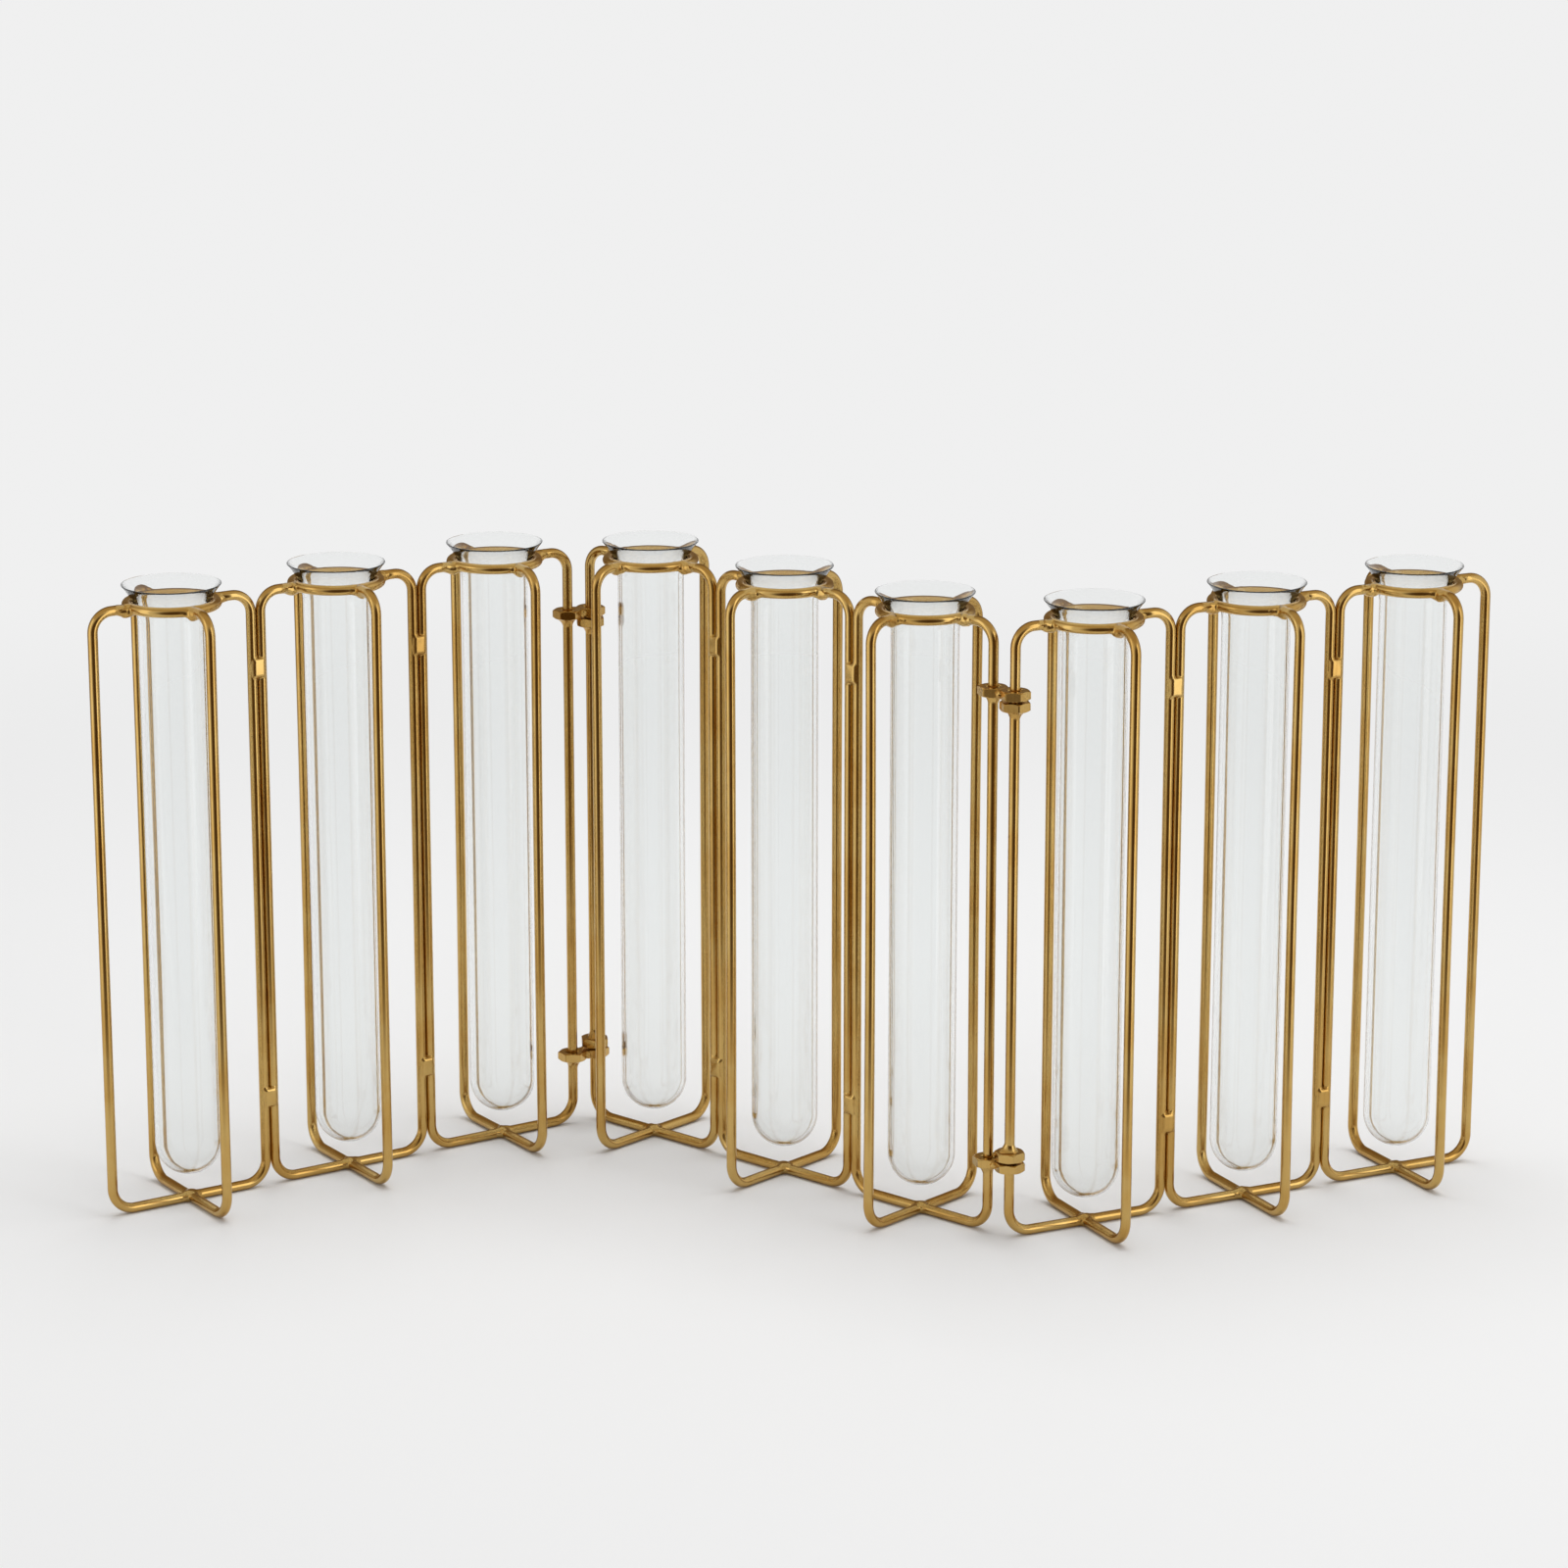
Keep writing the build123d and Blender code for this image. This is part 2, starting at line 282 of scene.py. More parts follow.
# %% Soft boxes
SOFT_BOXES = {
    # name: place in metres, width, height, watts
    "right_box": ((1.05, -0.75, 0.25), 0.5, 1.7, 3.2),
    "left_box": ((-1.15, -0.55, 0.25), 0.5, 1.6, 1.7),
    "top_box": ((0.1, 0.15, 1.35), 1.3, 0.8, 11.0),
}
VASE_MIDDLE = np.array([0.0, 0.0, 0.09])  # metres, where the boxes point
for name, (place, width, height, watts) in SOFT_BOXES.items():
    lamp = bpy.data.lights.new(name, "AREA")
    lamp.shape = "RECTANGLE"
    lamp.size = width
    lamp.size_y = height
    lamp.energy = watts
    box = bpy.data.objects.new(name, lamp)
    box.location = place
    toward = Vector(VASE_MIDDLE - np.array(place))
    box.rotation_euler = toward.to_track_quat("-Z", "Y").to_euler()
    box.visible_camera = False
    box.visible_glossy = name != "top_box"
    box.visible_transmission = False
    scene.collection.objects.link(box)
print("soft boxes", list(SOFT_BOXES))

# %% [markdown]
# ## Meshes from grids
#
# Every new surface here is a grid of points, rows by columns, made as one array. Columns run around and
# close on themselves. Rows either close as well, as on a ring, or end in a point, so that no hole is left.


# %% Grid to mesh
def once_around(count):
    """Equal steps once around a circle, in radians, as the columns of a grid."""
    return np.linspace(0, 2 * np.pi, count, endpoint=False)[None, :]


def about_axis(radius, height, angle):
    """Points about the upright axis: radius * cos(angle), radius * sin(angle) and the height."""
    parts = np.broadcast_arrays(radius * np.cos(angle), radius * np.sin(angle), height)
    return np.stack(parts, axis=-1)


def grid_faces(rows, columns, closed_rows):
    """Quads between neighbouring rows, with the columns closed on themselves."""
    row = np.arange(rows if closed_rows else rows - 1)[:, None]
    column = np.arange(columns)[None, :]
    above = (row + 1) % rows
    beside = (column + 1) % columns
    start, end = row * columns, above * columns
    return np.stack([start + column, start + beside, end + beside, end + column], axis=-1).reshape(-1, 4)


def grid_piece(points, closed_rows=False):
    """Vertices, quads and end fans of one grid. A fan closes an open end at the middle of its end row."""
    rows, columns = points.shape[:2]
    vertices = points.reshape(-1, 3)
    quads = grid_faces(rows, columns, closed_rows)
    if closed_rows:
        return vertices, quads, np.zeros((0, 3), int)
    ends = np.stack([points[0].mean(axis=0), points[-1].mean(axis=0)])
    column = np.arange(columns)
    beside = (column + 1) % columns
    low, high = len(vertices), len(vertices) + 1
    last = (rows - 1) * columns
    fans = np.concatenate(
        [
            np.stack([beside, column, np.full(columns, low)], axis=1),
            np.stack([last + column, last + beside, np.full(columns, high)], axis=1),
        ]
    )
    return np.concatenate([vertices, ends]), quads, fans


def mesh_object(name, pieces, attributes=None, sharp=None):
    """One smooth object from grid pieces, with point attributes given as arrays. Edges that turn by more
    than sharp degrees stay sharp."""
    vertices, quads, fans, start = [], [], [], 0
    for piece_vertices, piece_quads, piece_fans in pieces:
        vertices.append(piece_vertices)
        quads.append(piece_quads + start)
        fans.append(piece_fans + start)
        start += len(piece_vertices)
    vertices = np.concatenate(vertices)
    faces = np.concatenate(quads).tolist() + np.concatenate(fans).tolist()
    mesh = bpy.data.meshes.new(name)
    mesh.from_pydata(vertices, [], faces)
    mesh.polygons.foreach_set("use_smooth", np.ones(len(faces), bool))
    if sharp is not None:
        mesh.set_sharp_from_angle(angle=np.radians(sharp))
    for attribute, values in (attributes or {}).items():
        kind = "FLOAT" if values.ndim == 1 else "FLOAT_VECTOR"
        layer = mesh.attributes.new(attribute, kind, "POINT")
        layer.data.foreach_set("value" if values.ndim == 1 else "vector", values.astype(np.float32).ravel())
    made = bpy.data.objects.new(name, mesh)
    scene.collection.objects.link(made)
    return made


def dress(piece, node, material):
    """Puts a piece in a node's place: it hides the node, rides on its body and takes its finish."""
    piece.data.materials.append(material)
    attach(piece, body_of[node])
    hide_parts(node)


# %% [markdown]
# ## Floor
#
# A flat disc takes the vase's shadow. It could be a huge plane, but then a horizon would show. Here the
# disc fades with the distance into a glow of the backdrop's colour. Only the camera sees that glow: other
# rays pass through the faded part. Metal sees a table that ends close in front of the vase.

# %% Floor
FLOOR_RADIUS = 3.0  # metres
FLOOR_HEART = 0.02  # metres, radius of the innermost ring of points
FLOOR_ROWS = 24
FLOOR_TURNS = 64
FLOOR_FADE = (0.35, 0.90)  # metres from the middle where the floor starts to fade and is gone
TABLE_EDGE = (0.10, 0.26)  # metres in front where the floor fades, as metal mirrors it
floor_out = np.linspace(FLOOR_HEART, FLOOR_RADIUS, FLOOR_ROWS)[:, None]
vertices, quads, fans = grid_piece(about_axis(floor_out, 0.0, once_around(FLOOR_TURNS)))
# Only the inner hole is closed by a fan: the outer end is the disc's open edge
floor = mesh_object("floor", [(vertices[:-1], quads, fans[:FLOOR_TURNS])])
floor_material = bpy.data.materials.new("pale_floor")
tree = Tree(floor_material)
place = tree.node("ShaderNodeTexCoord", out="Object")
distance = tree.node("ShaderNodeVectorMath", {"operation": "LENGTH"}, {0: place}, "Value")
side = tree.node("ShaderNodeSeparateXYZ", {}, {"Vector": place}, "Y")
table_edge = tree.spread(-1 * side, *TABLE_EDGE) * tree.ray("Glossy")
far = tree.spread(distance, *FLOOR_FADE)
fade = 1 - (1 - far) * (1 - table_edge)
matt = tree.node("ShaderNodeBsdfDiffuse", {}, {"Color": PALE})
clear = tree.node("ShaderNodeBsdfTransparent")
glow = tree.node("ShaderNodeEmission", {}, {"Color": PALE})
beyond = tree.node("ShaderNodeMixShader", {}, {0: tree.ray("Camera"), 1: clear, 2: glow})
blended = tree.node("ShaderNodeMixShader", {}, {0: fade, 1: matt, 2: beyond})
tree.node("ShaderNodeOutputMaterial", {}, {"Surface": blended})
floor.data.materials.append(floor_material)
print("floor radius", FLOOR_RADIUS, "fades from", FLOOR_FADE)

# %% [markdown]
# ## Finish: aged brass
#
# The stand has an aged brass finish: satin, warm gold, with browner clouds, fine lines along the wire
# and darker metal where the welding heat reached. The lines need a coordinate that follows the bends,
# so each wire carries an attribute named `grain`: where a point was on the straight wire before it was
# bent. A second attribute is 1 at a weld and fades along the wire. On a nut it also carries painted
# shade, which turns the bore black.

# %% Brass
GOLD = rgb(0.58, 0.385, 0.130)
HONEY = rgb(0.54, 0.325, 0.090)
BROWN = rgb(0.33, 0.17, 0.040)
# Black: soot beside the welds, and painted shade in the bores of the nuts
SOOT_AND_BORE_SHADE = rgb(0.055, 0.032, 0.014)
MIDDLE = 0.5  # the value that noise varies around
LINE_STRETCH = (1.0, 1.0, 0.03)  # squeezes the grain's length, so that blotches become long lines
LINES = (1500.0, 3.0, 0.6)  # blotches to a metre, detail and roughness of the noise
CLOUDS = (60.0, 3.0, 0.55)
SPECKS = (900.0, 2.0, 0.6)
HONEY_EDGES = (0.35, 0.65)  # clouds that are still gold, and all honey
LINE_EDGES = (0.50, 0.80)  # lines that are still clear, and fully brown
LINES_IN_CLOUDS = 0.8  # how much the clouds gather the lines
LINE_BROWN = 0.26  # share of brown in a full line
HEAT_BROWN = 0.22  # share of brown where heat is 1
BLACK_EDGES = (0.95, 1.35)  # heat, or heat with a nut's painted bore shade, that starts to blacken, and that is black
SPECKS_IN_BLACK = 0.3  # how much the specks break up the edge of the black
LINE_ROUGH = 0.06  # how much the lines change the roughness
CLOUD_ROUGH = 0.10  # how much the clouds change it
SPECK_HEIGHT = 0.2  # height of the specks in the bump
BRASS_BUMP = {"Strength": 0.06, "Distance": 0.2 * MM}


def brass(name, satin, line_height):
    """A brass finish of a given roughness: gold drifting to honey, fine brown lines in clouds, more brown
    with heat, and black where heat rises past 1: soot beside the welds, and painted shade in a nut's bore."""
    material = bpy.data.materials.new(name)
    tree = Tree(material)
    place = tree.node("ShaderNodeTexCoord", out="Object")
    grain = tree.node("ShaderNodeAttribute", {"attribute_name": "grain"}, out="Vector")
    heat = tree.node("ShaderNodeAttribute", {"attribute_name": "heat"}, out="Fac")
    stretched = tree.node("ShaderNodeMapping", {}, {"Vector": grain, "Scale": LINE_STRETCH})
    line = tree.noise(stretched, *LINES)
    cloud = tree.noise(place, *CLOUDS)
    speck = tree.noise(place, *SPECKS)
    colour = tree.mix(tree.spread(cloud, *HONEY_EDGES), GOLD, HONEY)
    gathered = line + (cloud - MIDDLE) * LINES_IN_CLOUDS
    brown = tree.spread(gathered, *LINE_EDGES) * LINE_BROWN + heat * HEAT_BROWN
    colour = tree.mix(brown, colour, BROWN)
    # Black where heat rises past 1: soot beside a weld, and painted shade in a nut's bore
    black = tree.spread(heat + (speck - MIDDLE) * SPECKS_IN_BLACK, *BLACK_EDGES)
    colour = tree.mix(black, colour, SOOT_AND_BORE_SHADE)
    rough = satin + (line - MIDDLE) * LINE_ROUGH + (cloud - MIDDLE) * CLOUD_ROUGH
    height = line * line_height + speck * SPECK_HEIGHT
    bump = tree.node("ShaderNodeBump", {}, {**BRASS_BUMP, "Height": height})
    inputs = {"Base Color": colour, "Roughness": rough, "Metallic": 1.0, "Normal": bump}
    shader = tree.node("ShaderNodeBsdfPrincipled", {}, inputs)
    tree.node("ShaderNodeOutputMaterial", {}, {"Surface": shader})
    return material


wire_brass = brass("brass_wire_finish", satin=0.19, line_height=0.6)
nut_brass = brass("brass_nut_finish", satin=0.15, line_height=0.4)
weld_brass = brass("brass_weld_finish", satin=0.22, line_height=0.2)
print("brass finishes", wire_brass.name, nut_brass.name, weld_brass.name)

# %% [markdown]
# ## Finish: clear glass
#
# The tubes are clear drawn glass with a trace of green and faint ripples along their length. A glass
# shader alone would cast the dark shadow of a solid, because shadow rays don't bend. Those rays meet a
# pale transparent shader instead, so that the shadow is as faint as a real tube's.

# %% Glass
GLASS_TINT = rgb(0.956, 0.967, 0.964)
GLASS_IOR = 1.48
GLASS_SHADE = grey(0.88)  # the light that a wall lets through into its shadow
DRAWN = (1.0, 1.0, 0.02)  # squeezes the height, so that blotches become long ripples
RIPPLES = (260.0, 2.0, 0.5)  # blotches to a metre, detail and roughness of the noise
RIPPLE_BUMP = {"Strength": 0.05, "Distance": 0.5 * MM}
glass = bpy.data.materials.new("clear_glass")
tree = Tree(glass)
place = tree.node("ShaderNodeTexCoord", out="Object")
drawn = tree.node("ShaderNodeMapping", {}, {"Vector": place, "Scale": DRAWN})
ripple = tree.noise(drawn, *RIPPLES)
bump = tree.node("ShaderNodeBump", {}, {**RIPPLE_BUMP, "Height": ripple})
inputs = {
    "Base Color": GLASS_TINT,
    "Roughness": 0.0,
    "IOR": GLASS_IOR,
    "Transmission Weight": 1.0,
    "Normal": bump,
}
shader = tree.node("ShaderNodeBsdfPrincipled", {}, inputs)
shade = tree.node("ShaderNodeBsdfTransparent", {}, {"Color": GLASS_SHADE})
blended = tree.node("ShaderNodeMixShader", {}, {0: tree.ray("Shadow"), 1: shader, 2: shade})
tree.node("ShaderNodeOutputMaterial", {}, {"Surface": blended})
print("glass finish", glass.name)

# %% [markdown]
# ## Bent wires
#
# A wire could be a curve object with a bevel, but a mesh swept along a path keeps the point's place on
# the straight wire. The path is straight runs joined by arcs, in the upright plane through the cell's
# centre. The front and back legs bow inwards by a fraction of a millimetre, as hand-bent wire does. The
# side legs stay straight, because tacks and hinges hold them against their neighbours.

# %% Path of a bent wire
AROUND = 28  # points around a wire
SKIN = 0.005 * MM  # drawn this much thinner, to stay inside the construction model
STEP = 3.0 * MM  # between the points of a straight run
BEND_STEPS = 14
BASE_BEND = 7.0 * MM
TOP_BEND = 6.0 * MM


def bent_path(corners, bends):
    """Points along straight runs joined by arcs. At a corner that turns by an angle, the arc of radius r
    starts r * tan(angle / 2) before the corner, and its centre is r to the side of that point."""
    corners = np.array(corners)
    runs = np.diff(corners, axis=0)
    ways = runs / np.linalg.norm(runs, axis=1)[:, None]
    points, start = [], corners[0]
    for corner, radius, before, after in zip(corners[1:-1], bends, ways, ways[1:]):
        turn = np.arctan2(before[0] * after[1] - before[1] * after[0], before @ after)
        side = np.array([-before[1], before[0]]) * np.sign(turn)
        arc_start = corner - before * radius * np.tan(abs(turn) / 2)
        count = max(2, int(np.linalg.norm(arc_start - start) / STEP))
        points.append(start + (arc_start - start) * np.linspace(0, 1, count, endpoint=False)[:, None])
        angle = np.linspace(0, abs(turn), BEND_STEPS, endpoint=False)[:, None]
        points.append(arc_start + radius * (before * np.sin(angle) + side * (1 - np.cos(angle))))
        start = arc_start + radius * (before * np.sin(abs(turn)) + side * (1 - np.cos(turn)))
    count = max(2, int(np.linalg.norm(corners[-1] - start) / STEP))
    points.append(start + (corners[-1] - start) * np.linspace(0, 1, count)[:, None])
    return np.concatenate(points)


def bow_inwards(path, reach, depth):
    """Moves a leg's points inwards by depth times half a sine wave over the leg's height."""
    bowed = path.copy()
    leg = np.abs(np.abs(path[:, 0]) - reach) < wire_radius / 2
    lift = np.sin(np.pi * np.clip(path[:, 1] / arm_height, 0, 1))
    bowed[:, 0] -= np.sign(path[:, 0]) * depth * lift * leg
    return bowed


def sweep(path, plane_x, centre, radius):
    """A round section carried along a path in an upright plane: the point at angle a is the path's point
    plus radius * (cos a * side + sin a * flat), where side is in the plane and flat is across it."""
    ways = np.gradient(path, axis=0)
    ways /= np.linalg.norm(ways, axis=1)[:, None]
    flat = np.cross(up, plane_x)
    spots = centre + path[:, :1] * plane_x + path[:, 1:] * up
    side = ways[:, 1:] * plane_x - ways[:, :1] * up
    turn = once_around(AROUND)
    angle = turn[..., None]
    points = spots[:, None] + radius * (np.cos(angle) * side[:, None] + np.sin(angle) * flat)
    steps = np.linalg.norm(np.diff(path, axis=0), axis=1)
    length = np.append(0.0, np.cumsum(steps))
    grain = about_axis(radius, length[:, None], turn)
    ends = np.array([[0, 0, length[0]], [0, 0, length[-1]]])
    return grid_piece(points), np.concatenate([grain.reshape(-1, 3), ends])


# %% [markdown]
# ## Heat of the welds
#
# Welding leaves browner metal beside each bead. It could be painted by hand, but the places of the welds
# are known: the four joints on a ring, the crossing at the base, and the tacks between neighbours.

# %% Where the welds are
HEAT_SPREAD = 5.0 * MM
UPPER_TACK = arm_height - 22.5 * MM
LOWER_TACK = 28.0 * MM


def groove_between(cell, other):
    """The middle of the groove between two neighbouring cells, in plan."""
    return (centre_of[cell] + centre_of[other]) / 2


def weld_spots(cell):
    """Every welded place on a cell's wires: four ring joints, the base crossing and the tacks."""
    centre, row, cross = centre_of[cell], row_of[cell], cross_of[cell]
    spots = [centre + spoke * ring_radius + up * arm_height for spoke in (row, -row, cross, -cross)]
    spots.append(centre + up * wire_radius)
    for other in SECTIONS[section_of[cell]]:
        if abs(other - cell) == 1:
            groove = groove_between(cell, other)
            spots += [groove + up * UPPER_TACK, groove + up * LOWER_TACK]
    return spots


def heat_near(vertices, spots):
    """1 at the nearest weld spot, fading as a bell over the spread."""
    gaps = np.linalg.norm(vertices[:, None, :] - np.array(spots)[None], axis=2).min(axis=1)
    return np.exp(-((gaps / HEAT_SPREAD) ** 2))


print("tacks at", UPPER_TACK / MM, "and", LOWER_TACK / MM)

# %% Cross wires and side wires
SEED = 7
rng = np.random.default_rng(SEED)
BOW = 0.45 * MM  # the deepest bow of a leg
BOW_SHARES = (0.2, 1.0)  # least and greatest share of it
low, top = wire_radius, arm_height
u_corners = [(-ring_radius, top), (-cross_reach, top), (-cross_reach, low)]
u_corners += [(-x, z) for x, z in reversed(u_corners)]
side_corners = [(0.0, low), (row_reach, low), (row_reach, top), (ring_radius, top)]
u_path = bent_path(u_corners, [TOP_BEND, BASE_BEND, BASE_BEND, TOP_BEND])
side_path = bent_path(side_corners, [BASE_BEND, TOP_BEND])
for cell in CELLS:
    bowed_path = bow_inwards(u_path, cross_reach, BOW * rng.uniform(*BOW_SHARES))
    for node, path, way in (
        (f"cross_wire_{cell}", bowed_path, cross_of[cell]),
        (f"left_wire_{cell}", side_path, -row_of[cell]),
        (f"right_wire_{cell}", side_path, row_of[cell]),
    ):
        piece, grain = sweep(path, way, centre_of[cell], wire_radius - SKIN)
        heat = heat_near(piece[0], weld_spots(cell))
        wire = mesh_object(f"brass_{node}", [piece], {"grain": grain, "heat": heat})
        dress(wire, node, wire_brass)
print("wires", 3 * len(CELLS), "path points", len(u_path), len(side_path))

# %% [markdown]
# ## Rings
#
# Each tube hangs in a ring of the same wire. Blender has a torus of its own, but a ring from the grid
# functions also gets the attributes that the brass needs. A small circle is carried around a large one.

# %% Rings
RING_TURNS = 96


def torus(centre, large, small):
    """The point at angles a and b is (large + small * cos b) outward along a, and small * sin b up."""
    a = once_around(RING_TURNS).T
    b = once_around(AROUND)
    points = about_axis(large + small * np.cos(b), small * np.sin(b), a)
    grain = about_axis(small, large * np.sin(a), b)
    return grid_piece(centre + points, closed_rows=True), grain.reshape(-1, 3)


for cell in CELLS:
    piece, grain = torus(centre_of[cell] + up * arm_height, ring_radius, wire_radius - SKIN)
    heat = heat_near(piece[0], weld_spots(cell))
    ring = mesh_object(f"brass_ring_{cell}", [piece], {"grain": grain, "heat": heat})
    dress(ring, f"ring_{cell}", wire_brass)
print("rings", len(CELLS))

# %% [markdown]
# ## Glass tubes
#
# A tube is a profile turned around its axis: round bottom, straight wall, flare and rounded lip outside,
# then the same way back down inside. The wall has its real thickness, because light bends where it
# enters the glass and again where it leaves. Towards the lip the wall thins, because a thick lip gathers
# dark reflections into a black line.

# %% Profile of a tube
TUBE_RADIUS = 10.0 * MM
WALL = 1.2 * MM
FLARE = 16.0 * MM  # radius of the flare's outer face, in section
FLARE_ANGLE = np.radians(44.5)  # how far the construction model's flare leans out
LIP_ANGLE = np.radians(45.5)  # how far this one does, to reach as wide with its thinner lip
LIP = 0.18 * MM  # radius of the lip
POLE = 0.002  # radians left open at the axis, closed by a fan
BALL_POINTS = 24
WALL_POINTS = 30
FLARE_POINTS = 20
LIP_POINTS = 12
tube_low, tube_high = box_of("tube_1")
bore = TUBE_RADIUS - WALL
ball_centre = tube_low[2] + TUBE_RADIUS
flare_centre = TUBE_RADIUS + FLARE
flare_start = tube_high[2] - WALL / 2 - (FLARE + WALL / 2) * np.sin(FLARE_ANGLE)
lip_reach = FLARE + WALL / 2
lip_centre = (flare_centre - lip_reach * np.cos(LIP_ANGLE), flare_start + lip_reach * np.sin(LIP_ANGLE))


def arc(centre, radius, start, end, count):
    """Points on an arc in the profile plane, from one angle to another."""
    angle = np.linspace(start, end, count)
    return np.stack([centre[0] + radius * np.cos(angle), centre[1] + radius * np.sin(angle)], axis=1)


def straight(radius, start, end):
    """Points on the straight wall, without its ends."""
    height = np.linspace(start, end, WALL_POINTS + 2)[1:-1]
    return np.stack([np.full(WALL_POINTS, radius), height], axis=1)


def flare_arc(radius, lip_radius):
    """Points from the straight wall to the lip: an arc about the flare's centre whose radius drifts from
    the wall's to the lip's, slowly at first."""
    share = np.linspace(0, 1, FLARE_POINTS)[1:]
    angle = np.pi - LIP_ANGLE * share
    drift = radius + (lip_radius - radius) * share**2
    return np.stack([flare_centre + drift * np.cos(angle), flare_start + drift * np.sin(angle)], axis=1)


profile = np.concatenate(
    [
        arc((0, ball_centre), TUBE_RADIUS, -np.pi / 2 + POLE, 0, BALL_POINTS),
        straight(TUBE_RADIUS, ball_centre, flare_start),
        [(TUBE_RADIUS, flare_start)],
        flare_arc(FLARE, lip_reach - LIP),
        arc(lip_centre, LIP, -LIP_ANGLE, np.pi - LIP_ANGLE, LIP_POINTS)[1:-1],
        flare_arc(FLARE + WALL, lip_reach + LIP)[::-1],
        [(bore, flare_start)],
        straight(bore, flare_start, ball_centre),
        arc((0, ball_centre), bore, 0, -np.pi / 2 + POLE, BALL_POINTS),
    ]
)
print("rim radius", (lip_centre[0] + LIP) / MM, "model's", (tube_high[0] - tube_low[0]) / 2 / MM)

# %% Tubes
TUBE_TURNS = 96
turned = about_axis(profile[:, :1], profile[:, 1:], once_around(TUBE_TURNS))
for cell in CELLS:
    tube = mesh_object(f"glass_tube_{cell}", [grid_piece(centre_of[cell] + turned)])
    dress(tube, f"tube_{cell}", glass)
print("tubes", len(CELLS), "profile points", len(profile))

# %% [markdown]
# ## Hex nuts
#
# A nut is a hexagon whose corners are turned off by a cone at both faces, with a threaded bore. Cutting
# it from solids would leave long thin faces. As a function of angle and height, the outside is simply
# the smaller of two radii, the hexagon's and the cone's, and the thread is a wave in the bore's radius.

# %% Nut surface
HEX_TURN = np.pi / 3
NUT_FLATS = 8.0 * MM
NUT_CORNER = NUT_FLATS / 2 / np.cos(HEX_TURN / 2)
nut_low, nut_high = box_of("hinge_1_upper_pivot_nut")
NUT_HEIGHT = nut_high[2] - nut_low[2]
NUT_BORE = 2.1 * MM  # radius
BORE_MOUTH = 0.35 * MM  # depth of the cone at the bore's ends
THREAD_PITCH = 0.8 * MM
THREAD_DEPTH = 0.28 * MM
CONE_SLOPE = 0.5  # fall of the cone that turns off the corners
FACE_RADIUS = 0.98 * NUT_FLATS / 2  # where that cone meets a face
EDGE_ROUND = 0.12 * MM
NUT_TURNS = 120
OUTSIDE_ROWS = 25
BORE_ROWS = 41
FACE_ROWS = 7


def soft_least(first, second, width):
    """The smaller of two values, rounded where they are within the width of each other."""
    share = np.clip(0.5 + 0.5 * (second - first) / width, 0, 1)
    return second * (1 - share) + first * share - width * share * (1 - share)


def nut_grid(centre, turn):
    """A nut about a point with a corner at the given turn. Outside, the radius at angle a and height z is
    the lesser of flats / 2 / cos(a from the flat's middle) and the cone's radius. Inside, it is the bore's
    radius with a thread, one turn for each pitch. The rows run up the outside and down the bore. Also
    gives how far each point is in the bore, from 0 to 1."""
    angle = once_around(NUT_TURNS)
    from_flat = (angle - turn) % HEX_TURN - HEX_TURN / 2
    half = NUT_HEIGHT / 2
    hexagon = NUT_FLATS / 2 / np.cos(from_flat)
    z = half * np.sin(np.linspace(-np.pi / 2, np.pi / 2, OUTSIDE_ROWS))[:, None]
    cone = FACE_RADIUS + (half - np.abs(z)) / CONE_SLOPE
    outer = soft_least(hexagon, cone, EDGE_ROUND)
    bore_z = half * np.linspace(1, -1, BORE_ROWS)[:, None]
    thread = THREAD_DEPTH * (0.5 + 0.5 * np.cos(2 * np.pi * bore_z / THREAD_PITCH - angle))
    mouth = np.clip(np.abs(bore_z) - half + BORE_MOUTH, 0, None)
    inner = NUT_BORE + np.maximum(thread, mouth)
    blend = np.linspace(0, 1, FACE_ROWS)[1:-1, None]
    top_face = outer[-1] + (inner[0] - outer[-1]) * blend
    bottom_face = inner[-1] + (outer[0] - inner[-1]) * blend
    radius = np.concatenate([outer, top_face, inner, bottom_face])
    flat = np.full((len(blend), 1), half)
    height = np.concatenate([z, flat, bore_z, -flat])
    in_bore = np.concatenate([0 * z, blend**3, 0 * bore_z + 1, (1 - blend) ** 3]) + 0 * angle
    return centre + about_axis(radius, height, angle), in_bore.ravel()


print("nut", NUT_FLATS / MM, "across flats,", NUT_HEIGHT / MM, "high")

# %% Nuts
HINGES = {
    # number: joint, first cell of the section that carries its links, and of the one that is its pin
    1: ("left_hinge", 1, 4),
    2: ("right_hinge", 4, 7),
}
LEVELS = ("upper", "lower")
STOP_TURN = np.radians(18.0)  # from the row of its section
NUT_HEAT = 0.40  # all over a nut, because welds are close on every side
BORE_SHADE = 0.95  # painted shade added in its bore, which turns the bore black
SHARP_EDGE = 24.0  # degrees


def heading_of(cell):
    """The direction of a cell's row in plan, in radians."""
    return np.arctan2(row_of[cell][1], row_of[cell][0])


anchor_of = {}
for hinge, (_, link_cell, pin_cell) in HINGES.items():
    link_turn = heading_of(link_cell) + HEX_TURN / 2
    turns = {"anchor": link_turn, "pivot": link_turn, "stop": heading_of(pin_cell) + STOP_TURN}
    anchor_of[hinge] = middle_of(f"hinge_{hinge}_lower_anchor_nut") * np.array([1, 1, 0])
    for level in LEVELS:
        for role, turn in turns.items():
            node = f"hinge_{hinge}_{level}_{role}_nut"
            middle = middle_of(node)
            points, in_bore = nut_grid(middle, turn)
            piece = grid_piece(points, closed_rows=True)
            # Painted shade: the bore and the faces at its mouth get extra heat, which the brass turns black
            attributes = {"grain": piece[0] - middle, "heat": NUT_HEAT + BORE_SHADE * in_bore}
            nut = mesh_object(f"brass_{node}", [piece], attributes, SHARP_EDGE)
            dress(nut, node, nut_brass)
print("nuts", len(HINGES) * len(LEVELS) * len(turns))

